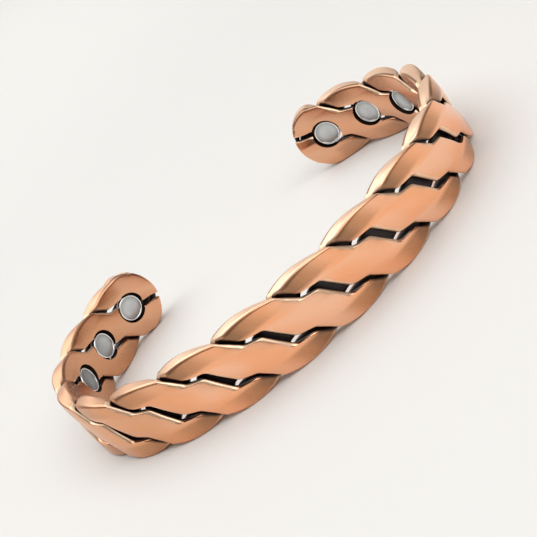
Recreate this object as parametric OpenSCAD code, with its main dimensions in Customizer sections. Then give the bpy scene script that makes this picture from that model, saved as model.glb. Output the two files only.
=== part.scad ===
// Open cuff of three strands, twisted together, pressed flat and bent to a C, with three round
// magnets let into the inner face near each tip.
// The cuff lies on its side: the wrist passes along Z, the back of the cuff faces -Y, its opening
// faces +Y, and the origin is at the bottom centre.

/* [Band] */
// Length of the band along its middle, from tip to tip
band_length = 165; // [155:1:180]
// Width of the band between opposite notches
band_width = 9.4; // [9:0.1:10.5]
// Thickness of the band over both layers of the twist
band_thickness = 2.2; // [2.1:0.1:2.8]
// Length of the rounded part of the outline at each tip
tip_length = 5.2; // [5:0.1:6.5]

/* [Twist] */
// Distance from one lobe to the next along the band
lobe_spacing = 9.7; // [9.2:0.1:10.4]
// How far each lobe swells past the notches beside it
scallop_depth = 0.95; // [0.7:0.05:1.3]
// How much higher a lobe is at its middle than along its sides
crown = 0.35; // [0:0.05:0.5]
// How much lower a lobe lies where it passes under its neighbour near the band's edges
dive = 0.4; // [0:0.05:0.5]
// Gap between neighbouring strands in the middle of a face
groove_gap = 1.1; // [0.7:0.05:1.2]
// Gap between neighbouring strands at the edges of the band
notch_gap = 0.3; // [0.2:0.05:0.5]
// Gap between the outer and the inner layer
layer_gap = 0.25; // [0.2:0.05:0.4]

/* [Bend] */
// Bend radius across the back of the cuff
back_radius = 44.6; // [38:0.1:50]
// Length of the back bend from the middle to one corner
back_length = 25.3; // [23:0.1:28]
// Bend radius at the corners
corner_radius = 24.2; // [22:0.1:28]
// Length of each corner bend
corner_length = 19.2; // [18:0.1:22]
// Bend radius of the arms, from the corners to the tips
arm_radius = 25.1; // [24:0.1:30]

/* [Magnets] */
// Diameter of each magnet
magnet_diameter = 4.5; // [4:0.1:5]
// Thickness of each magnet
magnet_thickness = 1; // [0.8:0.05:1.1]
// Distance between the middles of neighbouring magnets
magnet_spacing = 9; // [7:0.1:11]
// Distance from the tip of the band to the middle of the last magnet
magnet_from_tip = 5.8; // [5:0.1:9]
// Gap around each magnet in its pocket
pocket_gap = 0.25; // [0.15:0.05:0.4]
// Width of each magnet's raised rim
rim_width = 0.35; // [0.25:0.05:0.5]
// Depth of the dished face inside the rim
dish_depth = 0.08; // [0:0.02:0.15]

/* [Hidden] */
$fn = 96;

strand_count = 3;
magnets_per_end = 3;
left = -1;
right = 1;

// Shape of one quarter turn of a strand, from the middle of a face to the very edge of the band.
// FLAT: share of the flat part of the face, TURN: degrees round the edge,
// ALONG: share of the quarter turn's run along the band, OPEN: how far the gap is open, 0 to 1
FLAT = 0;
TURN = 1;
ALONG = 2;
OPEN = 3;
QUARTER = [
    [0.00, 0, 0.00, 1.00],
    [0.54, 0, 0.20, 1.00],
    [0.67, 0, 0.54, 0.60],
    [0.82, 0, 0.65, 0.30],
    [1.00, 0, 0.75, 0.25],
    [1.00, 50, 0.90, 0.10],
    [1.00, 75, 0.96, 0.00],
    [1.00, 90, 1.00, 0.00]
];

// Outline of a strand across its width, from the left side over the top and back underneath.
// ACROSS: share of the strand's width, LEVEL: share of the layer's height
ACROSS = 0;
LEVEL = 1;
OUTLINE = [
    [0.000, 0.45],
    [0.015, 0.80],
    [0.060, 0.96],
    [0.200, 1.00],
    [0.350, 1.00],
    [0.500, 1.00],
    [0.650, 1.00],
    [0.800, 1.00],
    [0.940, 0.96],
    [0.985, 0.80],
    [1.000, 0.45],
    [0.930, 0.00],
    [0.640, 0.00],
    [0.360, 0.00],
    [0.070, 0.00]
];

// How square the band's edge is between a circle, 2, and a box
edge_squareness = 4;
// A strand ends where less than this of its width is left inside the tip's outline
narrowest_end = 0.8;
// The ends of the strands are found in steps of this share of a station
end_step = 0.125;
// Least reach of a strand past the edge axis, where the tip's outline cuts it back
least_reach = 0.6;
// Share of the gap between the layers that stays between a pocket's floor and the outer strands
floor_share = 0.6;
// Chamfer on the magnets, as a share of their rim
chamfer_share = 0.4;
// Extra length of a pocket's cutter past the inner face
cutter_margin = 2;

half_length = band_length / 2;
layer_top = band_thickness / 2;
layer_bottom = layer_gap / 2;
// The strands turn about these two lines, which run along the band this far from its middle
edge_axis = band_width / 2 - layer_top;
quarter_steps = len(QUARTER) - 1;
quarter_run = strand_count * lobe_spacing / 4;
quarter_girth = edge_axis + PI / 2 * layer_top;
tip_start = half_length - tip_length;
reach_up = band_width / 2 + scallop_depth;
outline_points = len(OUTLINE);

// The cuff seen from above: where a point of the band's middle line lies, and its heading
function bent(from, length, radius) =
    let (heading = from[2] + length / radius * 180 / PI)
    [
        from[0] + radius * (sin(heading) - sin(from[2])),
        from[1] + radius * (cos(from[2]) - cos(heading)),
        heading
    ];
function half_plan(length) =
    let (
        on_back = min(length, back_length),
        on_corner = min(length - on_back, corner_length),
        on_arm = length - on_back - on_corner
    )
    bent(bent(bent([0, 0, 0], on_back, back_radius), on_corner, corner_radius), on_arm, arm_radius);
function plan(along) =
    let (half = half_plan(abs(along)), side = along < 0 ? left : right)
    [side * half[0], half[1], side * half[2]];

// A point of the band from its place along it, its height across it and its depth outwards
function on_band(along, across, outwards) =
    let (p = plan(along))
    [p[0] + outwards * sin(p[2]), p[1] - outwards * cos(p[2]), across];

// The tip's outline is half an ellipse: half its width at a place along the band, and how far it
// reaches along the band at a height across it
function outline_width(along) =
    let (share = max(abs(along) - tip_start, 0) / tip_length)
    reach_up * sqrt(max(1 - share * share, 0));
function outline_length(across) =
    let (share = across / reach_up)
    tip_start + tip_length * sqrt(max(1 - share * share, 0));

// Stations are numbered from the middle of the outer face, with 4 quarters to a full turn.
// Each gives [place along the band, place round the girth, gap to the next strand].
function row_station(row) = [
    row[ALONG] * quarter_run,
    row[FLAT] * edge_axis + row[TURN] * PI / 180 * layer_top,
    notch_gap + row[OPEN] * (groove_gap - notch_gap)
];
function whole_station(index) =
    let (
        quarter = floor(index / quarter_steps),
        step = index - quarter * quarter_steps,
        forward = quarter % 2 == 0,
        own = row_station(QUARTER[forward ? step : quarter_steps - step]),
        sign = forward ? 1 : -1,
        base = forward ? quarter : quarter + 1
    )
    [-(base * quarter_run + sign * own[0]), base * quarter_girth + sign * own[1], own[2]];
function station(index) =
    let (low = floor(index), share = index - low)
    share == 0 ? whole_station(low)
    : whole_station(low) * (1 - share) + whole_station(low + 1) * share;

// Direction square to the groove at a station, towards the strand on its right
function square_to_groove(index) =
    let (run = station(index + 0.5) - station(index - 0.5), size = norm([run[0], run[1]]))
    [run[1], -run[0]] / size;

// Where the face or edge is that a place round the girth lies on: [height across, angle outwards]
function girth_place(girth) =
    let (
        turn_girth = 4 * quarter_girth,
        rest = girth - floor(girth / turn_girth) * turn_girth,
        half_turn = PI * layer_top,
        upper_end = edge_axis + half_turn,
        lower_start = upper_end + 2 * edge_axis,
        lower_end = lower_start + half_turn
    )
    rest < edge_axis ? [rest, 0]
    : rest < upper_end ? [edge_axis, (rest - edge_axis) / layer_top * 180 / PI]
    : rest < lower_start ? [edge_axis - (rest - upper_end), 180]
    : rest < lower_end ? [-edge_axis, 180 + (rest - lower_start) / layer_top * 180 / PI]
    : [rest - lower_end - edge_axis, 360];

// How far a lobe's top sinks towards the neighbour that crosses over it near the band's edge: on its
// left at the upper edge of the outer face, on its right at the lower edge, and mirrored inside
function sinking(height, angle, share) =
    let (
        upper = height * cos(angle) > 0,
        near_edge = min(abs(height) / edge_axis, 1),
        under = upper ? 1 - share : share
    )
    dive * pow(near_edge, 2) * (3 - 2 * near_edge) * pow(under, 2);

// Distance of a strand's top from the edge axis or the mid plane, at an angle outwards
function top_reach(angle, swell, along, sunk) =
    let (
        face = layer_top + crown * swell - sunk,
        edge = layer_top + scallop_depth * swell,
        kept = max(min(edge, outline_width(along) - edge_axis), least_reach)
    )
    pow(
        pow(abs(cos(angle)) / face, edge_squareness) + pow(abs(sin(angle)) / kept, edge_squareness),
        -1 / edge_squareness
    );

// The strands count -1, 0 and 1 from here on, with strand 0 at the middle of the outer face.
// A strand's section at a station, between the grooves on both sides and inside the tip's outline:
// [left end, right end, left limit, right limit], with the ends as [along, girth]
function section(strand, index) =
    let (
        middle = station(index),
        square = square_to_groove(index) * middle[2] / 2,
        start = [middle[0] + strand * lobe_spacing, middle[1]],
        half_pitch = [lobe_spacing / 2, 0],
        left_end = start - half_pitch + square,
        right_end = start + half_pitch - square,
        place = girth_place(middle[1]),
        limit = outline_length(abs(place[0]) + least_reach * abs(sin(place[1])))
    )
    [left_end, right_end, max(left_end[0], -limit), min(right_end[0], limit)];
function section_width(strand, index) =
    let (s = section(strand, index))
    s[3] - s[2];

// One ring of points round a strand at a station
function ring(strand, index) =
    let (s = section(strand, index), full = s[1] - s[0])
    [
        for (point = OUTLINE)
        let (
            along = s[2] + point[ACROSS] * (s[3] - s[2]),
            share = (along - s[0][0]) / full[0],
            place = girth_place(s[0][1] + share * full[1]),
            swell = 4 * share * (1 - share),
            top = top_reach(place[1], swell, along, sinking(place[0], place[1], share)),
            depth = layer_bottom + point[LEVEL] * (top - layer_bottom)
        )
        on_band(along, place[0] + depth * sin(place[1]), depth * cos(place[1]))
    ];

// The stations between which a strand has enough width, and its own first and last one
function end_stations(strand) =
    let (
        reach = ceil((half_length / lobe_spacing + strand_count) / strand_count * 4 * quarter_steps),
        tries = reach / end_step,
        narrow = [
            for (i = [-tries:tries])
            if (section_width(strand, i * end_step) < narrowest_end) i * end_step
        ],
        before = [for (i = narrow) if (i < strand * quarter_steps) i],
        after = [for (i = narrow) if (i > strand * quarter_steps) i]
    )
    [max(before) + end_step, min(after) - end_step];

// All rings of a strand, from its first station to its last
function strand_rings(strand) =
    let (ends = end_stations(strand))
    [
        ring(strand, ends[0]),
        for (i = [floor(ends[0]) + 1:ceil(ends[1]) - 1]) ring(strand, i),
        ring(strand, ends[1])
    ];
RINGS = [for (strand = [-1:1]) strand_rings(strand)];

// The move that puts the bottom centre of the three strands at the origin
function all_values(axis) = [for (rings = RINGS, points = rings, point = points) point[axis]];
centre_shift = [
    0,
    -(min(all_values(1)) + max(all_values(1))) / 2,
    -min(all_values(2))
];

module strand(number) {
    rings = RINGS[number - 1];
    last = len(rings) - 1;
    color("#cf936c")
    translate(centre_shift)
    difference() {
        polyhedron(
            points = [for (points = rings) each points],
            faces = [
                [for (j = [0:outline_points - 1]) j],
                for (i = [0:last - 1], j = [0:outline_points - 1])
                let (
                    a = i * outline_points + j,
                    b = i * outline_points + (j + 1) % outline_points,
                    c = b + outline_points,
                    d = a + outline_points
                )
                each [[a, d, c], [a, c, b]],
                [for (j = [outline_points - 1:-1:0]) last * outline_points + j]
            ]
        );
        for (side = [left, right], place = [1:magnets_per_end]) {
            at_magnet(side, place) pocket();
        }
    }
}

// Moves a child that points along +Z to a magnet's place, pointing inwards from the band's mid plane
module at_magnet(side, place) {
    along = side * (half_length - magnet_from_tip - (place - 1) * magnet_spacing);
    translate(on_band(along, 0, 0)) rotate([-90, 0, plan(along)[2]]) children();
}

module pocket() {
    floor_height = layer_bottom * floor_share;
    translate([0, 0, floor_height])
        cylinder(d = magnet_diameter + 2 * pocket_gap, h = layer_top + crown + cutter_margin - floor_height);
}

module magnet(side, place) {
    radius = magnet_diameter / 2;
    chamfer = rim_width * chamfer_share;
    color("#b9bcbd")
    translate(centre_shift)
    at_magnet(side, place)
        translate([0, 0, layer_bottom])
        rotate_extrude()
        polygon([
            [0, 0],
            [radius - chamfer, 0],
            [radius, chamfer],
            [radius, magnet_thickness - chamfer],
            [radius - chamfer, magnet_thickness],
            [radius - rim_width, magnet_thickness],
            [radius - rim_width - dish_depth, magnet_thickness - dish_depth],
            [0, magnet_thickness - dish_depth]
        ]);
}

strand(1);  // strand_1
strand(2);  // strand_2
strand(3);  // strand_3
magnet(left, 1);  // left_magnet_1
magnet(left, 2);  // left_magnet_2
magnet(left, 3);  // left_magnet_3
magnet(right, 1);  // right_magnet_1
magnet(right, 2);  // right_magnet_2
magnet(right, 3);  // right_magnet_3
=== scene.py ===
"""An open copper cuff of three strands, twisted and pressed flat, with three magnets near each tip.

The strands and the magnets replace the plain solids of the frame, from the same sizes, with rounded
edges, finer grooves and real finishes. Lengths are in millimetres here and become metres in the meshes.
"""
import math

import bpy
import numpy as np
from mathutils import Matrix, Vector


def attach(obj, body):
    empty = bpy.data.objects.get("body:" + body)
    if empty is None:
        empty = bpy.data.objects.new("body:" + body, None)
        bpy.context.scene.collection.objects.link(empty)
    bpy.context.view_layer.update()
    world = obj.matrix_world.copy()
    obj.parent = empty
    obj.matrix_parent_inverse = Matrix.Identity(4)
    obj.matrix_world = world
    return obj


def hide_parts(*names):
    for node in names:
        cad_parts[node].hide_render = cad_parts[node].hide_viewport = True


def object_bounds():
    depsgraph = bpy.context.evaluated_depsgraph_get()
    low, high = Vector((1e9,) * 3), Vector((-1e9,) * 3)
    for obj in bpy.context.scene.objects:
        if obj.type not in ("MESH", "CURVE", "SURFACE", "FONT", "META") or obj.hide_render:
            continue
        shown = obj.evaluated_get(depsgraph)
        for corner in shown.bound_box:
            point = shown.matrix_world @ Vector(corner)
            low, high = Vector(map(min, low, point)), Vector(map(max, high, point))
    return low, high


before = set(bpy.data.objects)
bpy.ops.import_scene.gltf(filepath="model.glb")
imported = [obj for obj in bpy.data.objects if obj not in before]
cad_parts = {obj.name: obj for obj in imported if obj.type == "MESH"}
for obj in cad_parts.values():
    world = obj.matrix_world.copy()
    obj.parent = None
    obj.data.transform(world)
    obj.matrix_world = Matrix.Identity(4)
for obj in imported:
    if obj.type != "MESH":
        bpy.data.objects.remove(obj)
cad_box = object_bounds()

MM = 0.001

# Band
BAND_LENGTH = 165
BAND_WIDTH = 9.4
BAND_THICKNESS = 2.2
TIP_LENGTH = 5.2
LAYER_GAP = 0.25

# Twist
STRANDS = 3
LOBE_SPACING = 9.7
SCALLOP_DEPTH = 0.95
CROWN = 0.35
GROOVE_GAP = 1.0
INNER_GROOVE_GAP = 0.8
NOTCH_GAP = 0.2
# How much lower a lobe is where it dives under its neighbour, near the band's edges
DIVE = 0.85
DIVE_START = 2.6
# How far the inner face's grooves keep nearer to the middle at the tips, and the share of their
# width to which the outer face's grooves narrow there
TIP_PULL = 0.75
TIP_NARROWING = 0.12
# How far before the tips these changes start, and the length over which they grow
TIP_CHANGE_START, TIP_CHANGE_LENGTH = 6.5, 4
# The same for the scallops, which even out into the smooth outline of the tips
SCALLOP_END_START, SCALLOP_END_LENGTH = 7.3, 2.3

# Bend, seen from above: length and radius of the back, the corner and the arm of one half
BACK_LENGTH, BACK_RADIUS = 25.3, 44.6
CORNER_LENGTH, CORNER_RADIUS = 19.2, 24.2
ARM_RADIUS = 25.1

# Magnets
MAGNETS_PER_END = 3
MAGNET_DIAMETER = 4.5
MAGNET_THICKNESS = 1.0
MAGNET_SPACING = 9.0
MAGNET_FROM_TIP = 5.8
POCKET_GAP = 0.25
DISC_STEPS = 96

# Rounding of the edges along the grooves, of those that dive under a neighbour, and of the sides
GROOVE_ROUNDING = 0.42
DIVE_ROUNDING = 0.75
SIDE_ROUNDING = 0.45
# Height across the band over which the rounding grows to that of the dive
DIVE_ROUNDING_RUN = 1.0

# One quarter turn of a groove, from the middle of a face to the edge of the band: share of the
# flat part of the face, degrees round the edge, share of the run along the band, and how far it is
# open on the outer face and on the inner face
FLAT, TURN, ALONG, OPEN, INNER_OPEN = range(5)
QUARTER = np.array([
    [0.00, 0, 0.00, 1.00, 1.00],
    [0.54, 0, 0.20, 1.00, 1.00],
    [0.67, 0, 0.54, 0.60, 0.60],
    [0.82, 0, 0.65, 0.18, 0.10],
    [1.00, 0, 0.75, 0.10, 0.05],
    [1.00, 50, 0.90, 0.05, 0.00],
    [1.00, 75, 0.96, 0.00, 0.00],
    [1.00, 90, 1.00, 0.00, 0.00],
])
QUARTER_STEPS = len(QUARTER) - 1
TURN_STEPS = 4 * QUARTER_STEPS

HALF_LENGTH = BAND_LENGTH / 2
LAYER_TOP = BAND_THICKNESS / 2
LAYER_BOTTOM = LAYER_GAP / 2
EDGE_AXIS = BAND_WIDTH / 2 - LAYER_TOP
REACH_UP = BAND_WIDTH / 2 + SCALLOP_DEPTH
TIP_START = HALF_LENGTH - TIP_LENGTH
QUARTER_RUN = STRANDS * LOBE_SPACING / 4
QUARTER_GIRTH = EDGE_AXIS + math.pi / 2 * LAYER_TOP
TURN_RUN = 4 * QUARTER_RUN
TURN_GIRTH = 4 * QUARTER_GIRTH

# The frame's origin is at the bottom centre, and the back's outermost point is at the box's front
BACK_SHIFT = cad_box[0][1] / MM + LAYER_TOP + CROWN


def plan(along):
    """The band's middle line seen from above: x, y and heading for each length from the middle."""
    length = np.abs(along)
    side = np.where(along < 0, -1.0, 1.0)
    on_back = np.minimum(length, BACK_LENGTH)
    on_corner = np.clip(length - BACK_LENGTH, 0, CORNER_LENGTH)
    on_arm = np.maximum(length - BACK_LENGTH - CORNER_LENGTH, 0)
    x = y = heading = np.zeros_like(length)
    for stretch, radius in (
        (on_back, BACK_RADIUS), (on_corner, CORNER_RADIUS), (on_arm, ARM_RADIUS)
    ):
        after = heading + stretch / radius
        x = x + radius * (np.sin(after) - np.sin(heading))
        y = y + radius * (np.cos(heading) - np.cos(after))
        heading = after
    return side * x, y, side * heading


def on_band(along, across, outwards):
    """Points of the frame, in millimetres, from their place on the band."""
    x, y, heading = plan(along)
    return np.stack([
        x + outwards * np.sin(heading),
        BACK_SHIFT + y - outwards * np.cos(heading),
        REACH_UP + across + 0 * x,
    ], -1)


def outline_share(past):
    """Width of an ellipse as a share of its widest, at a share of its half length."""
    return np.sqrt(np.maximum(1 - past * past, 0))


def outline_width(along):
    """Half the width of the band's outline, which is half an ellipse past the start of the tip."""
    return REACH_UP * outline_share(np.maximum(np.abs(along) - TIP_START, 0) / TIP_LENGTH)


def outline_length(across):
    """Half the length of the band's outline at a height across it."""
    return TIP_START + TIP_LENGTH * outline_share(across / REACH_UP)


def corner_course(index):
    """Along, girth and gap of a groove's middle at whole stations, with four quarters to a turn."""
    quarter, step = np.divmod(index, QUARTER_STEPS)
    forward = quarter % 2 == 0
    row = QUARTER[np.where(forward, step, QUARTER_STEPS - step)]
    sign = np.where(forward, 1, -1)
    base = np.where(forward, quarter, quarter + 1)
    girth = row[..., FLAT] * EDGE_AXIS + np.radians(row[..., TURN]) * LAYER_TOP
    gap = NOTCH_GAP + np.where(
        (quarter % 4 == 1) | (quarter % 4 == 2),
        row[..., INNER_OPEN] * (INNER_GROOVE_GAP - NOTCH_GAP),
        row[..., OPEN] * (GROOVE_GAP - NOTCH_GAP),
    )
    return np.stack([
        -(base * QUARTER_RUN + sign * row[..., ALONG] * QUARTER_RUN),
        base * QUARTER_GIRTH + sign * girth,
        gap,
    ], -1)


# Stations to either side over which the corners of the zigzag are softened
SOFTENING = 0.2
SOFTENING_SAMPLES = 9


def course(index):
    """The same at any station, with the corners of the zigzag softened."""
    spread = index[..., None] + np.linspace(-SOFTENING, SOFTENING, SOFTENING_SAMPLES)
    low = np.floor(spread).astype(int)
    share = (spread - low)[..., None]
    return (corner_course(low) * (1 - share) + corner_course(low + 1) * share).mean(-2)


def square_to_course(index):
    """Direction square to a groove in (along, girth), towards the strand on its right."""
    run = course(index + SOFTENING) - course(index - SOFTENING)
    size = np.hypot(run[..., 0], run[..., 1])
    return np.stack([run[..., 1] / size, -run[..., 0] / size], -1)


def girth_place(girth):
    """Height across the band of the axis under a place on the girth, and the share of half a turn."""
    rest = girth % TURN_GIRTH
    half_turn = math.pi * LAYER_TOP
    upper_end = EDGE_AXIS + half_turn
    lower_start = upper_end + 2 * EDGE_AXIS
    lower_end = lower_start + half_turn
    parts = [rest < EDGE_AXIS, rest < upper_end, rest < lower_start, rest < lower_end]
    across = np.select(
        parts,
        [rest, EDGE_AXIS + 0 * rest, EDGE_AXIS - (rest - upper_end), -EDGE_AXIS + 0 * rest],
        rest - lower_end - EDGE_AXIS,
    )
    turn = np.select(
        parts,
        [0 * rest, (rest - EDGE_AXIS) / half_turn, 1 + 0 * rest, 1 + (rest - lower_start) / half_turn],
        2 + 0 * rest,
    )
    return across, turn


# The most of a lobe's height or reach that the rounding of its side may take
ROUNDING_LIMIT = 0.98


def round_the_side(turn, height, reach, rounding):
    """Place on the outline of a lobe round the band's side, which is a flat face, a rounded edge, the
    side and back again: height across, depth, and how far it has turned from the face to the side.

    turn runs from 0 on the outer face to 1 on the inner face, and from 1 to 2 round the lower side.
    """
    side = np.where(turn <= 1, 1.0, -1.0)
    share = np.where(turn <= 1, turn, 2 - turn)
    rounding = np.minimum(rounding, np.minimum(height, reach) * ROUNDING_LIMIT)
    face = reach - rounding
    arc = math.pi / 2 * rounding
    edge = height - rounding
    quarter = face + arc + edge
    outer = share <= 0.5
    way = np.where(outer, share, 1 - share) * 2 * quarter
    bend = np.clip(way - face, 0, arc) / rounding
    down = np.maximum(way - face - arc, 0)
    across = np.minimum(way, face) + rounding * np.sin(bend)
    depth = height - rounding * (1 - np.cos(bend)) - down
    return side * across, np.where(outer, depth, -depth), bend / (math.pi / 2)


# Half the length of girth over which the zigzag is evened out, for the smooth swell of the lobes
EVENING = 2.6
EVENING_SAMPLES = 41
# Turns to either side that are sampled, the step in stations, and the points of the evened course
EVENED_TURNS = 2
EVENED_STEP = 0.05
EVENED_POINTS = 1201


def make_even_course():
    """Girth and along of a groove without its zigzag, for one turn to either side."""
    index = np.arange(-EVENED_TURNS * TURN_STEPS, EVENED_TURNS * TURN_STEPS, EVENED_STEP)
    along, girth, _ = course(index).T
    even = np.linspace(-TURN_GIRTH, TURN_GIRTH, EVENED_POINTS)
    spread = even[:, None] + np.linspace(-EVENING, EVENING, EVENING_SAMPLES)
    return even, np.interp(spread, girth, along).mean(1)


EVEN_GIRTH, EVEN_ALONG = make_even_course()


def even_share(along, girth, strand):
    """Share of a strand's width, measured from grooves without their zigzag."""
    turns = np.round(girth / TURN_GIRTH)
    middle = np.interp(girth - turns * TURN_GIRTH, EVEN_GIRTH, EVEN_ALONG) - turns * TURN_RUN
    return np.clip(0.5 + (along - strand * LOBE_SPACING - middle) / LOBE_SPACING, 0, 1)


def eased(value):
    """Goes smoothly from 0 to 1."""
    value = np.clip(value, 0, 1)
    return value * value * (3 - 2 * value)


# How steeply the outer face becomes the inner face round the sides
FACING_STEEPNESS = 3


def facing(turn):
    """1 on the outer face, -1 on the inner face, and in between round the middle of the sides."""
    return np.clip(FACING_STEEPNESS * np.cos(turn * math.pi), -1, 1)


def at_tip(along, start=TIP_CHANGE_START, length=TIP_CHANGE_LENGTH):
    """0 along the band and 1 at its tips."""
    return eased((np.abs(along) - HALF_LENGTH + start) / length)


def pulled(along, across, turn):
    """Height across the band, nearer to the middle on the inner face of the tips."""
    pull = at_tip(along) * (np.cos(turn * math.pi) < 0)
    return across - TIP_PULL * pull * np.sin(math.pi * across / EDGE_AXIS)


# The least reach past its axis that a strand keeps where the tips' outline narrows the band
LEAST_REACH = 0.5
# The shade of a neighbour grows over a share of the way to the band's edge, and over a share of
# the lobe's width from where it starts
SHADE_GROWTH = 0.3
SHADE_START = 0.25
SHADE_RUN = 0.7


def lobe_surface(strand, along, girth, level):
    """Points of a strand from their place on it, where level is 1 on its top and 0 on its underside,
    and for each how far it is shaded by a neighbour, how far it is round the side, how high up the
    band it is, and the depth of the surface above it as a share of that of the face.

    On the outer face a neighbour crosses over a lobe on its left near the band's upper edge and on
    its right near the lower edge, and on the inner face the other way round."""
    across, turn = girth_place(girth)
    share = even_share(along, girth, strand)
    swell = 4 * share * (1 - share)
    height = LAYER_TOP + CROWN * swell
    smooth_outline = at_tip(along, SCALLOP_END_START, SCALLOP_END_LENGTH)
    reach = LAYER_TOP + SCALLOP_DEPTH * np.maximum(swell, smooth_outline)
    reach = np.minimum(reach, outline_width(along) - EDGE_AXIS)
    reach = np.maximum(reach, LEAST_REACH)
    top_across, top_depth, on_side = round_the_side(turn, height, reach, SIDE_ROUNDING)
    from_middle = across + top_across
    under = np.where(from_middle * np.cos(turn * math.pi) > 0, 1 - share, share)
    near_edge = np.clip((np.abs(from_middle) - DIVE_START) / (REACH_UP - DIVE_START), 0, 1)
    under = under * (1 - at_tip(along))
    top_depth = top_depth * (1 - DIVE / height * near_edge ** 2 * under ** 2)
    across = pulled(along, across, turn)
    core_across = LAYER_BOTTOM * np.sin(turn * math.pi)
    core_depth = LAYER_BOTTOM * np.cos(turn * math.pi)
    points = on_band(
        along,
        across + core_across + level * (top_across - core_across),
        core_depth + level * (top_depth - core_depth),
    )
    shaded = eased(near_edge / SHADE_GROWTH) * np.clip((under - SHADE_START) / SHADE_RUN, 0, 1)
    return points, shaded, on_side, from_middle, top_depth / height


TIP_TRIES = 6
# Share of the outline's half width past which the slant of a tip's outline counts as no less
TIP_SLANT_LIMIT = 0.98


def tip_end(left, right, along):
    """Where a section ends along the band, within the tips' outline, and the slant of that outline."""
    end = along
    for _ in range(TIP_TRIES):
        share = (end - left[..., 0]) / (right[..., 0] - left[..., 0])
        across, turn = girth_place(left[..., 1] + share * (right[..., 1] - left[..., 1]))
        across = pulled(end, across, turn)
        height = np.abs(across) + LEAST_REACH * np.abs(np.sin(turn * math.pi))
        limit = outline_length(height)
        end = np.clip(along, -limit, limit)
    return end, outline_share(np.minimum(height / REACH_UP, TIP_SLANT_LIMIT))


def strand_section(strand, index):
    """Left and right end of a strand's section in (along, girth), the limits set by the tips'
    outline, how square the section stands to its walls, and the rounding of both edges."""
    middle = course(index)
    square = square_to_course(index)
    across, turn = girth_place(middle[..., 1])
    shift = square * middle[..., 2:3] / 2
    start = middle[..., :2] + np.array([strand * LOBE_SPACING, 0])
    half_pitch = np.array([LOBE_SPACING / 2, 0])
    left = start - half_pitch
    right = start + half_pitch
    outer = np.maximum(facing(turn), 0)

    def still_open(along):
        """Share of its width that a groove keeps, which falls on the outer face of the tips."""
        narrowed = (1 - TIP_NARROWING) * outer * at_tip(along)
        return (1 - narrowed)[..., None]

    left = left + shift * still_open(left[..., 0])
    right = right - shift * still_open(right[..., 0])
    way = right - left
    way /= np.hypot(way[..., 0], way[..., 1])[..., None]
    slant = np.abs((way * square).sum(-1))
    low, low_tip_slant = tip_end(left, right, left[..., 0])
    high, high_tip_slant = tip_end(left, right, right[..., 0])
    low_slant = np.where(left[..., 0] < low, low_tip_slant, slant)
    high_slant = np.where(right[..., 0] > high, high_tip_slant, slant)
    slants = np.stack([low_slant, high_slant], -1)
    diving = eased((np.abs(across) - DIVE_START) / DIVE_ROUNDING_RUN)
    diving = diving * np.sign(across) * facing(turn) * (1 - at_tip(start[..., 0]))
    both_sides = np.maximum(np.stack([diving, -diving], -1), 0)
    roundings = GROOVE_ROUNDING + (DIVE_ROUNDING - GROOVE_ROUNDING) * both_sides
    return left, right, low, high, slants, roundings


CORNER_STEPS = 8
FACE_STEPS = 18
LEAST_SLANT = 0.45
# Stations to either side over which a rounding's reach along the band is evened out, and the most
# of a strand's width that it takes
REACH_SPREAD = 4
WIDEST_ROUNDING = 0.4
# The underside of a strand, rounded towards its walls: share of the width, and level above the floor
FLOOR = np.array([(0.98, 0.3), (0.86, 0.08), (0.62, 0), (0.38, 0), (0.14, 0.08), (0.02, 0.3)])
STATION_STEPS = 8
NARROWEST_END = 0.45


def strand_stations(strand):
    """The stations between which a strand is wide enough to be there."""
    turns = (HALF_LENGTH / LOBE_SPACING + STRANDS) / STRANDS
    reach = math.ceil(turns * TURN_STEPS) * STATION_STEPS
    tries = np.arange(-reach, reach + 1) / STATION_STEPS
    _, _, low, high, _, _ = strand_section(strand, tries)
    narrow = tries[high - low < NARROWEST_END]
    middle = strand * QUARTER_STEPS
    first = narrow[narrow < middle].max() + 1 / STATION_STEPS
    last = narrow[narrow > middle].min() - 1 / STATION_STEPS
    return np.arange(round(first * STATION_STEPS), round(last * STATION_STEPS) + 1) / STATION_STEPS


def ring_profile(width, slants, roundings):
    """Distance from the left wall, drop below the top and share of the rounding, for the top of a
    section at every station, and the distance for its underside."""
    bends = np.linspace(0, math.pi / 2, CORNER_STEPS)
    spread = 2 * REACH_SPREAD + 1

    def corner(side):
        rounding = roundings[:, side]
        reach = rounding / np.maximum(slants[:, side], LEAST_SLANT)
        reach = np.pad(reach, REACH_SPREAD, "edge")
        reach = np.convolve(reach, np.ones(spread) / spread, "valid")
        reach = np.minimum(reach, width * WIDEST_ROUNDING)
        return reach[:, None] * (1 - np.cos(bends)), rounding[:, None] * (1 - np.sin(bends))

    left_in, left_drop = corner(0)
    right_in, right_drop = corner(1)
    face_start = left_in[:, -1:]
    face_end = width[:, None] - right_in[:, -1:]
    face = face_start + np.linspace(0, 1, FACE_STEPS + 1)[1:-1] * (face_end - face_start)
    across = np.concatenate([left_in, face, width[:, None] - right_in[:, ::-1]], 1)
    drop = np.concatenate([left_drop, 0 * face, right_drop[:, ::-1]], 1)
    rounded = 1 - np.sin(bends)
    sunk = np.concatenate([rounded, np.zeros(FACE_STEPS - 1), rounded[::-1]])
    return across, drop, np.broadcast_to(sunk, across.shape), width[:, None] * FLOOR[:, 0]


def tube_faces(grid):
    """Faces between the rings of a grid of vertex numbers."""
    near, far = grid[:-1], grid[1:]
    corners = np.stack([near, np.roll(near, -1, 1), np.roll(far, -1, 1), far], -1)
    return corners.reshape(-1, 4).tolist()


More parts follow.
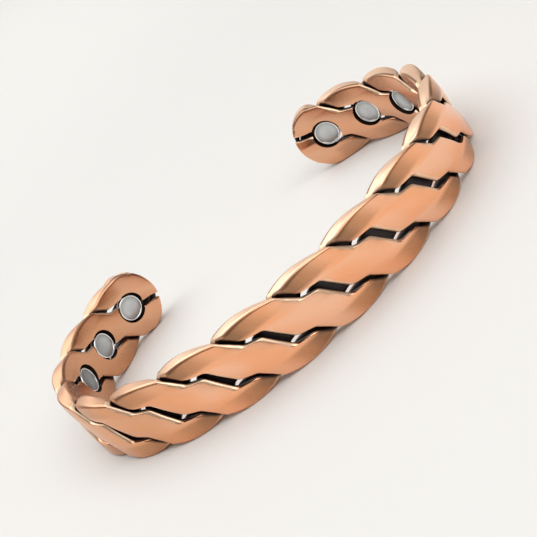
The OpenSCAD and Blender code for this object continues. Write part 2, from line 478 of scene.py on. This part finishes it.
def strand_mesh(strand):
    """Vertices, faces and maps. The maps hold for each vertex its distance from the walls in
    millimetres and how far down it is, 1 on a wall and 2 underneath; its place along and across the
    grain; how far it is shaded by a neighbour and how far it is round the band's side; and its
    height from the band's middle and its depth as a share of the face's."""
    stations = strand_stations(strand)
    left, right, low, high, slants, roundings = strand_section(strand, stations)
    width = high - low
    top, drop, sunk_top, floor = ring_profile(width, slants, roundings)
    across = np.concatenate([top, floor], 1)
    along = low[:, None] + across
    full = right - left
    share = (along - left[:, :1]) / full[:, :1]
    girth = left[:, 1:] + share * full[:, 1:]
    share = np.clip(share, 0, 1)
    on_top = drop.shape[1]
    level = np.zeros_like(along)
    level[:, :on_top] = 1 - drop / LAYER_TOP
    level[:, on_top:] = FLOOR[:, 1]
    points, shaded, on_side, from_middle, depth = lobe_surface(strand, along, girth, level)
    rings, around = along.shape
    grid = np.arange(rings * around).reshape(rings, around)
    faces = tube_faces(grid) + [grid[0][::-1].tolist(), grid[-1].tolist()]
    wall = np.minimum(across * slants[:, :1], (width[:, None] - across) * slants[:, 1:])
    wall[:, on_top:] = np.minimum(floor, width[:, None] - floor)
    sunk = 2 * np.ones_like(along)
    sunk[:, :on_top] = sunk_top
    # The end faces at the tips are no groove's walls
    sunk[np.ix_(left[:, 0] < low, [*range(CORNER_STEPS), around - 1])] = 0
    sunk[np.ix_(right[:, 0] > high, [*range(on_top - CORNER_STEPS, on_top + 1)])] = 0
    steps = np.diff((left + right) / 2, axis=0)
    travelled = np.concatenate([[0], np.cumsum(np.hypot(*steps.T))])
    lengthwise = np.broadcast_to(travelled[:, None], along.shape)
    return points.reshape(-1, 3), faces, {
        "wall": np.stack([wall.ravel(), sunk.ravel()], -1),
        "grain": np.stack([lengthwise.ravel(), (share * full[:, :1]).ravel()], -1),
        "zone": np.stack([shaded.ravel(), on_side.ravel()], -1),
        "spot": np.stack([from_middle.ravel(), depth.ravel()], -1),
    }


def make_object(name, points, faces, maps=None):
    """A mesh object from points in millimetres, with one UV map for each named pair of values."""
    mesh = bpy.data.meshes.new(name)
    mesh.from_pydata((np.asarray(points) * MM).tolist(), [], faces)
    for map_name, pairs in (maps or {}).items():
        layer = mesh.uv_layers.new(name=map_name)
        corners = np.empty(len(mesh.loops), int)
        mesh.loops.foreach_get("vertex_index", corners)
        layer.data.foreach_set("uv", pairs[corners].ravel())
    mesh.polygons.foreach_set("use_smooth", [True] * len(mesh.polygons))
    mesh.update()
    thing = bpy.data.objects.new(name, mesh)
    bpy.context.scene.collection.objects.link(thing)
    return thing


def lathe(outline, steps, place):
    """Points and faces of a closed form turned about the Z axis of a place. The outline starts and
    ends on that axis."""
    angles = np.arange(steps) * 2 * math.pi / steps
    radii, heights = np.array(outline[1:-1]).T
    rings = np.stack([
        radii[:, None] * np.cos(angles),
        radii[:, None] * np.sin(angles),
        np.broadcast_to(heights[:, None], (len(radii), steps)),
    ], -1).reshape(-1, 3)
    points = np.concatenate([rings, [[0, 0, outline[0][1]], [0, 0, outline[-1][1]]]])
    grid = np.arange(len(radii) * steps).reshape(len(radii), steps)
    faces = tube_faces(grid)
    bottom, top = len(points) - 2, len(points) - 1
    for i in range(steps):
        following = (i + 1) % steps
        faces.append([int(grid[0][following]), int(grid[0][i]), bottom])
        faces.append([int(grid[-1][i]), int(grid[-1][following]), top])
    turned = [tuple(place @ Vector(point)) for point in points.tolist()]
    return turned, faces


def magnet_place(side, number):
    """Matrix of a magnet's place: its Z axis points inwards from the band's mid plane."""
    along = side * (HALF_LENGTH - MAGNET_FROM_TIP - (number - 1) * MAGNET_SPACING)
    heading = float(plan(np.array(along))[2])
    spot = Vector(on_band(np.array(along), 0.0, 0.0).tolist())
    return Matrix.Translation(spot) @ Matrix.Rotation(heading, 4, "Z") @ Matrix.Rotation(
        -math.pi / 2, 4, "X")


# Materials

def node_tree(name):
    """A new material, its node tree and its shader."""
    material = bpy.data.materials.new(name)
    material.use_nodes = True
    tree = material.node_tree
    return material, tree, tree.nodes["Principled BSDF"]


def add(tree, kind, **settings):
    """A new node with its settings."""
    node = tree.nodes.new(kind)
    for key, value in settings.items():
        setattr(node, key, value)
    return node


def values(tree, map_name):
    """The two values that a UV map holds, as sockets."""
    source = add(tree, "ShaderNodeUVMap", uv_map=map_name)
    split = add(tree, "ShaderNodeSeparateXYZ")
    tree.links.new(source.outputs["UV"], split.inputs[0])
    return split.outputs["X"], split.outputs["Y"]


def ramp(tree, value, start, end, low=0.0, high=1.0):
    """Goes smoothly from low to high while the value goes from start to end."""
    node = add(tree, "ShaderNodeMapRange", interpolation_type="SMOOTHSTEP")
    for key, number in (("From Min", start), ("From Max", end), ("To Min", low), ("To Max", high)):
        node.inputs[key].default_value = number
    tree.links.new(value, node.inputs["Value"])
    return node.outputs["Result"]


def times(tree, first, second):
    """The product of two values."""
    node = add(tree, "ShaderNodeMath", operation="MULTIPLY")
    tree.links.new(first, node.inputs[0])
    tree.links.new(second, node.inputs[1])
    return node.outputs[0]


def blend(tree, factor, below, above, kind="RGBA"):
    """A mix of two colours or numbers, each plain or a socket."""
    node = add(tree, "ShaderNodeMix", data_type=kind)
    tree.links.new(factor, node.inputs["Factor"])
    for key, value in (("A", below), ("B", above)):
        if isinstance(value, bpy.types.NodeSocket):
            tree.links.new(value, node.inputs[key])
        else:
            node.inputs[key].default_value = (*value, 1) if kind == "RGBA" else value
    return node.outputs["Result"]


def noise(tree, place, scale, detail=3.0, stretch=(1, 1, 1)):
    """A cloudy value round 0.5, with its pattern stretched by a scale for each direction."""
    mapping = add(tree, "ShaderNodeMapping")
    mapping.inputs["Scale"].default_value = stretch
    tree.links.new(place, mapping.inputs["Vector"])
    node = add(tree, "ShaderNodeTexNoise")
    node.inputs["Scale"].default_value = scale
    node.inputs["Detail"].default_value = detail
    tree.links.new(mapping.outputs["Vector"], node.inputs["Vector"])
    return node.outputs["Fac"]


COPPER_ORANGE = (1.0, 0.465, 0.245)
COPPER_PINK = (1.0, 0.56, 0.36)
COPPER_SHADE_BROWN = (0.62, 0.30, 0.155)
COPPER_SHADE_UMBER = (0.34, 0.18, 0.10)
COPPER_INSIDE = (0.62, 0.34, 0.21)
COPPER_EDGE_SHADE = (0.22, 0.115, 0.065)
COPPER_WORN_HIGHLIGHT = (1.0, 0.71, 0.49)
COPPER_SIDE_HIGHLIGHT = (0.95, 0.65, 0.46)
NICKEL_RIM_HIGHLIGHT = (0.86, 0.86, 0.85)
NICKEL_FACE = (0.70, 0.72, 0.73)
NICKEL_DULL_SHADE = (0.42, 0.44, 0.45)
NICKEL_SHADED = (0.24, 0.25, 0.26)
OXIDE_WALL = (0.012, 0.002, 0.002)
OXIDE_UNDER = (0.035, 0.024, 0.023)
POCKET_BLACK = (0.012, 0.006, 0.004)
POCKET_BROWN = (0.035, 0.018, 0.012)
FLOOR_GREY = (0.80, 0.79, 0.77)
FLOOR_WHITE = (0.84, 0.83, 0.81)

# How rough each part of the copper is, and how metallic its worn, highlighted parts and its oxidised
# parts are
ROUGH_CLEAN = (0.2, 0.28)
ROUGH_SHADED = 0.3
ROUGH_SIDE = 0.38
ROUGH_WORN_HIGHLIGHT = 0.36
ROUGH_OXIDE = 0.45
METALLIC_WORN_HIGHLIGHT = 0.8
METALLIC_OXIDE = 0.25
# Height of the brushed grain in metres, and how much of it shows in the open and in the shade
GRAIN_HEIGHT = 0.00003
GRAIN_OPEN, GRAIN_SHADED = 0.05, 0.25

# Where the left end grows browner with painted shade along the X axis, and its magnets darker with
# painted shade, in metres
BROWNER_FROM, BROWNER_TO = -0.016, -0.029
MAGNET_SHADE_FROM, MAGNET_SHADE_TO = -0.026, -0.031
# Height from the band's middle over which the edges come to face up enough to be worn and to take a
# painted highlight
WORN_HIGHLIGHT_FROM, WORN_HIGHLIGHT_TO = -2.6, -1.6
# The rim of a magnet, as shares of its radius, and its roughness there and inside
RIM_FROM, RIM_TO = 0.78, 0.86
ROUGH_RIM = 0.2
ROUGH_DISH = (0.26, 0.36)


def towards_left(tree, place, start, end, most):
    """Grows from 0 to the most while the place on the X axis goes from start to end."""
    split = add(tree, "ShaderNodeSeparateXYZ")
    tree.links.new(place, split.inputs[0])
    return ramp(tree, split.outputs["X"], start, end, 0.0, most)


def copper_tone(tree, place, mottled, shaded, on_side, depth):
    """Colour of the copper outside the grooves."""
    # Clean copper drifts between orange and pink from lobe to lobe
    grain = add(tree, "ShaderNodeUVMap", uv_map="grain").outputs["UV"]
    cloudy = noise(tree, grain, 0.11, 1)
    tone = blend(tree, ramp(tree, cloudy, 0.35, 0.65), COPPER_ORANGE, COPPER_PINK)
    # Painted shade: brown where a neighbour crosses over, darkest close to it
    patchy = times(tree, shaded, ramp(tree, mottled, 0.2, 0.6, 0.85, 1.0))
    tone = blend(tree, ramp(tree, patchy, 0.0, 0.55), tone, COPPER_SHADE_BROWN)
    tone = blend(tree, ramp(tree, patchy, 0.5, 1.0), tone, COPPER_SHADE_UMBER)
    # The inner face is browner all over
    inside = ramp(tree, depth, 0.0, -0.8, 0.0, 0.6)
    tone = blend(tree, inside, tone, COPPER_INSIDE)
    # Painted highlight: sides are a paler copper, with painted shade as a dark line along the turn to
    # the inner face
    side = ramp(tree, on_side, 0.3, 0.8)
    tone = blend(tree, side, tone, COPPER_SIDE_HIGHLIGHT)
    line = times(tree, side, ramp(tree, depth, -0.45, -0.7))
    tone = blend(tree, line, tone, COPPER_EDGE_SHADE)
    # Painted shade: the left end and its corner are browner than the rest
    browner = towards_left(tree, place, BROWNER_FROM, BROWNER_TO, 0.62)
    browner = times(tree, browner, ramp(tree, mottled, 0.2, 0.6, 0.8, 1.0))
    return blend(tree, browner, tone, COPPER_SHADE_BROWN)


def worn_and_highlit_edges(tree, sunk, under, height, mottled):
    """Share of wear and painted highlight on the edges along the grooves that face up."""
    wear_and_highlight = times(tree, ramp(tree, sunk, 0.0, 0.03), ramp(tree, mottled, 0.1, 0.5, 0.6, 1.0))
    wear_and_highlight = times(tree, wear_and_highlight, ramp(tree, height, WORN_HIGHLIGHT_FROM, WORN_HIGHLIGHT_TO))
    return times(tree, wear_and_highlight, ramp(tree, under, 0.1, 0.5, 1.0, 0.0))


def copper_material():
    material, tree, shader = node_tree("copper")
    link = tree.links.new
    wall, sunk = values(tree, "wall")
    under, on_side = values(tree, "zone")
    height, depth = values(tree, "spot")
    shaded = times(tree, under, ramp(tree, on_side, 0.0, 1.0, 1.0, 0.0))
    grain = add(tree, "ShaderNodeUVMap", uv_map="grain").outputs["UV"]
    place = add(tree, "ShaderNodeTexCoord").outputs["Object"]
    brushed = noise(tree, grain, 1.0, 4, (0.25, 9, 1))
    mottled = noise(tree, place, 260)
    wear_and_highlight = worn_and_highlit_edges(tree, sunk, under, height, mottled)
    tone = copper_tone(tree, place, mottled, shaded, on_side, depth)
    # Worn copper and a painted highlight on the edges that face up
    tone = blend(tree, wear_and_highlight, tone, COPPER_WORN_HIGHLIGHT)
    # Dark oxide covers the walls of the grooves, and a duller one the undersides
    middle = times(tree, ramp(tree, sunk, 1.4, 2.0), ramp(tree, wall, 0.6, 2.6))
    oxide = blend(tree, middle, OXIDE_WALL, OXIDE_UNDER)
    covered_in_open = ramp(tree, sunk, 0.55, 0.95)
    # Where a neighbour crosses over, the black reaches further up the edges, a painted shadow
    covered_in_shade = ramp(tree, sunk, 0.05, 0.35)
    covered = blend(tree, ramp(tree, under, 0.1, 0.5), covered_in_open, covered_in_shade, "FLOAT")
    link(blend(tree, covered, tone, oxide), shader.inputs["Base Color"])
    rough = ramp(tree, brushed, 0.2, 0.8, *ROUGH_CLEAN)
    rough = blend(tree, shaded, rough, ROUGH_SHADED, "FLOAT")
    rough = blend(tree, ramp(tree, on_side, 0.05, 0.25), rough, ROUGH_SIDE, "FLOAT")
    rough = blend(tree, wear_and_highlight, rough, ROUGH_WORN_HIGHLIGHT, "FLOAT")
    link(blend(tree, covered, rough, ROUGH_OXIDE, "FLOAT"), shader.inputs["Roughness"])
    metallic = blend(tree, wear_and_highlight, 1.0, METALLIC_WORN_HIGHLIGHT, "FLOAT")
    link(blend(tree, covered, metallic, METALLIC_OXIDE, "FLOAT"), shader.inputs["Metallic"])
    bump = add(tree, "ShaderNodeBump")
    bump.inputs["Distance"].default_value = GRAIN_HEIGHT
    link(blend(tree, shaded, GRAIN_OPEN, GRAIN_SHADED, "FLOAT"), bump.inputs["Strength"])
    link(brushed, bump.inputs["Height"])
    link(bump.outputs["Normal"], shader.inputs["Normal"])
    return material


def clouded_material(name, scale, darker, lighter, rough, metallic=0.0):
    """A dull material whose colour drifts between two tones."""
    material, tree, shader = node_tree(name)
    place = add(tree, "ShaderNodeTexCoord").outputs["Object"]
    cloud = noise(tree, place, scale, 2.0)
    tree.links.new(blend(tree, cloud, darker, lighter), shader.inputs["Base Color"])
    shader.inputs["Roughness"].default_value = rough
    shader.inputs["Metallic"].default_value = metallic
    return material


def magnet_material():
    """Nickel, dull inside the rim and polished on it, with a painted highlight on the rim and painted
    shade in the dish towards it. The map holds the distance from the middle as a share of the disc's
    radius."""
    material, tree, shader = node_tree("magnet_nickel")
    from_middle, _ = values(tree, "disc")
    place = add(tree, "ShaderNodeTexCoord").outputs["Object"]
    cloudy = noise(tree, place, 700)
    rim = ramp(tree, from_middle, RIM_FROM, RIM_TO)
    face = blend(tree, cloudy, NICKEL_DULL_SHADE, NICKEL_FACE)
    # Painted shade: the dish darkens towards the rim
    face = blend(tree, ramp(tree, from_middle, 0.45, 0.8), face, NICKEL_DULL_SHADE)
    # Painted shade: those towards the left corner are darker
    magnet_shade = towards_left(tree, place, MAGNET_SHADE_FROM, MAGNET_SHADE_TO, 0.8)
    face = blend(tree, magnet_shade, face, NICKEL_SHADED)
    # Painted highlight: the rim is lighter than the dish
    tree.links.new(blend(tree, rim, face, NICKEL_RIM_HIGHLIGHT), shader.inputs["Base Color"])
    rough = ramp(tree, cloudy, 0.2, 0.8, *ROUGH_DISH)
    tree.links.new(blend(tree, rim, rough, ROUGH_RIM, "FLOAT"), shader.inputs["Roughness"])
    shader.inputs["Metallic"].default_value = 1.0
    return material


COPPER = copper_material()
OXIDE = clouded_material("pocket_oxide", 900, POCKET_BLACK, POCKET_BROWN, 0.6, 0.6)
NICKEL = magnet_material()
PALE_FLOOR = clouded_material("pale_floor", 3, FLOOR_GREY, FLOOR_WHITE, 0.7)

MAGNETS = [(name, side, number)
           for name, side in (("left", -1), ("right", 1))
           for number in range(1, MAGNETS_PER_END + 1)]


# Strands, with the magnets' pockets cut out of their inner faces

# The pockets' cutters start between the layers, at a share of the inner layer's distance from the
# band's mid plane, and go on past the inner face by an excess
CUTTER_START = 0.6
CUTTER_EXCESS = 2


def pocket_cutters():
    """All pockets as one mesh of closed cylinders."""
    radius = MAGNET_DIAMETER / 2 + POCKET_GAP
    floor = LAYER_BOTTOM * CUTTER_START
    mouth = LAYER_TOP + CROWN + CUTTER_EXCESS
    outline = [(0, floor), (radius, floor), (radius, mouth), (0, mouth)]
    points, faces = [], []
    for _, side, number in MAGNETS:
        more, more_faces = lathe(outline, DISC_STEPS, magnet_place(side, number))
        faces += [[i + len(points) for i in face] for face in more_faces]
        points += more
    cutter = make_object("pocket_cutters", points, faces)
    cutter.data.materials.append(OXIDE)
    return cutter


def cut(thing, cutter):
    """Cuts the cutter's form out of a thing for good, with the cutter's material on the cuts."""
    modifier = thing.modifiers.new("pockets", "BOOLEAN")
    modifier.operation = "DIFFERENCE"
    modifier.solver = "EXACT"
    modifier.object = cutter
    modifier.material_mode = "TRANSFER"
    bpy.context.view_layer.update()
    evaluated = thing.evaluated_get(bpy.context.evaluated_depsgraph_get())
    shape = bpy.data.meshes.new_from_object(evaluated)
    thing.modifiers.clear()
    thing.data = shape


CREASE = math.radians(38)
MIDDLE_STRAND = (STRANDS + 1) // 2


def make_strand(number, cutter):
    points, faces, maps = strand_mesh(number - MIDDLE_STRAND)
    thing = make_object(f"copper_strand_{number}", points, faces, maps)
    thing.data.materials.append(COPPER)
    cut(thing, cutter)
    thing.data.set_sharp_from_angle(angle=CREASE)
    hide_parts(f"strand_{number}")
    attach(thing, "root")


cutters = pocket_cutters()
for number in range(1, STRANDS + 1):
    make_strand(number, cutters)
bpy.data.objects.remove(cutters)


# Magnets, dished inside a raised rim

# How much smaller in radius the discs are than in the frame, the bevel of their backs, half the
# width of the rim, the depth of the dish at its edge and how much deeper its middle is
DISC_INSET = 0.08
DISC_BEVEL = 0.1
HALF_RIM = 0.19
DISH = 0.16
HOLLOW = 0.2
RIM_STEPS = 12
HOLLOW_STEPS = 10


def magnet_outline():
    radius = MAGNET_DIAMETER / 2 - DISC_INSET
    low = LAYER_BOTTOM
    high = low + MAGNET_THICKNESS
    outline = [(0, low), (radius - DISC_BEVEL, low), (radius, low + DISC_BEVEL)]
    # The rim is half round, and the dish falls from it
    for i in range(RIM_STEPS + 1):
        bend = math.radians(180 * i / RIM_STEPS)
        outline.append((
            radius - HALF_RIM * (1 - math.cos(bend)),
            high - HALF_RIM * (1 - math.sin(bend)),
        ))
    foot = radius - 2 * HALF_RIM
    for i in range(HOLLOW_STEPS):
        share = 1 - i / HOLLOW_STEPS
        outline.append((foot * share, high - DISH - HOLLOW * (1 - share * share)))
    outline.append((0, high - DISH - HOLLOW))
    return outline


def disc_map():
    """Distance from the middle as a share of the radius, for each point that lathe gives."""
    radii = np.array(magnet_outline())[1:-1, 0] / (MAGNET_DIAMETER / 2)
    shares = np.concatenate([np.repeat(radii, DISC_STEPS), [0, 0]])
    return {"disc": np.stack([shares, 0 * shares], -1)}


for name, side, number in MAGNETS:
    points, faces = lathe(magnet_outline(), DISC_STEPS, magnet_place(side, number))
    magnet = make_object(f"{name}_magnet_disc_{number}", points, faces, disc_map())
    magnet.data.materials.append(NICKEL)
    magnet.data.set_sharp_from_angle(angle=CREASE)
    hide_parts(f"{name}_magnet_{number}")
    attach(magnet, "root")


# Floor with a backdrop that rises behind it in one sweep

BACKDROP_HALF_WIDTH = 1200
FLOOR_FRONT, FLOOR_BACK = -900, 700
SWEEP_RADIUS = 300
SWEEP_STEPS = 12
WALL_HEIGHT = 600


def make_backdrop():
    outline = [(FLOOR_FRONT, 0.0)]
    for i in range(SWEEP_STEPS + 1):
        bend = math.radians(90 * i / SWEEP_STEPS)
        outline.append((
            FLOOR_BACK + SWEEP_RADIUS * math.sin(bend),
            SWEEP_RADIUS * (1 - math.cos(bend)),
        ))
    outline.append((FLOOR_BACK + SWEEP_RADIUS, SWEEP_RADIUS + WALL_HEIGHT))
    sides = (-BACKDROP_HALF_WIDTH, BACKDROP_HALF_WIDTH)
    points = [(x, y, z) for y, z in outline for x in sides]
    faces = [[2 * i, 2 * i + 1, 2 * i + 3, 2 * i + 2] for i in range(len(outline) - 1)]
    backdrop = make_object("backdrop", points, faces)
    backdrop.data.materials.append(PALE_FLOOR)


make_backdrop()


# Light

def area_light(name, place, target, size, power):
    """A soft light from a place in millimetres towards a target."""
    data = bpy.data.lights.new(name, "AREA")
    data.shape = "RECTANGLE"
    data.size, data.size_y = (side * MM for side in size)
    data.energy = power
    lamp = bpy.data.objects.new(name, data)
    place = Vector(place) * MM
    lamp.location = place
    lamp.rotation_euler = (Vector(target) * MM - place).to_track_quat("-Z", "Y").to_euler()
    bpy.context.scene.collection.objects.link(lamp)


MIDDLE = (0, 0, 6)
area_light("key_light", (-160, 170, 430), MIDDLE, (640, 520), 1.35)
area_light("fill_light", (260, -380, 420), (20, -20, 0), (560, 420), 1.55)
area_light("wall_light", (0, 480, 620), (0, 1000, 330), (900, 160), 2.4)

# The studio is dim round the horizon and bright overhead, with the change between two heights of
# the direction, which are 0 at the horizon and 1 straight up
HORIZON_GLOW = (0.12, 0.11, 0.11)
OVERHEAD_GLOW = (0.72, 0.71, 0.69)
GLOW_FROM, GLOW_TO = 0.45, 0.75


def make_world():
    world = bpy.data.worlds.new("studio")
    world.use_nodes = True
    tree = world.node_tree
    direction = add(tree, "ShaderNodeTexCoord").outputs["Generated"]
    split = add(tree, "ShaderNodeSeparateXYZ")
    tree.links.new(direction, split.inputs[0])
    rising = ramp(tree, split.outputs["Z"], GLOW_FROM, GLOW_TO)
    glow = blend(tree, rising, HORIZON_GLOW, OVERHEAD_GLOW)
    tree.links.new(glow, tree.nodes["Background"].inputs["Color"])
    bpy.context.scene.world = world


make_world()
bpy.context.scene.view_settings.view_transform = "Standard"


# Camera, at the photograph's angle to the cuff: its place, the directions of its view and of the
# picture's right side, and its lens, all fitted to the outline and the grooves in the photograph

FRAME_WIDTH = 36.0
CAMERA_PLACE = Vector((1.469, BACK_SHIFT - 170.32, 79.652))
CAMERA_FORWARD = Vector((-0.00798, 0.93228, -0.36166))
CAMERA_RIGHT = Vector((0.74693, -0.23491, -0.62203))
LENS = 94.34


def make_camera():
    data = bpy.data.cameras.new("camera")
    data.sensor_width = FRAME_WIDTH
    data.lens = LENS
    data.clip_start = 0.01
    camera = bpy.data.objects.new("camera", data)
    back = -CAMERA_FORWARD.normalized()
    right = (CAMERA_RIGHT - back * CAMERA_RIGHT.dot(back)).normalized()
    up = back.cross(right)
    turn = Matrix((right, up, back)).transposed().to_4x4()
    camera.matrix_world = Matrix.Translation(CAMERA_PLACE * MM) @ turn
    bpy.context.scene.collection.objects.link(camera)
    bpy.context.scene.camera = camera


make_camera()
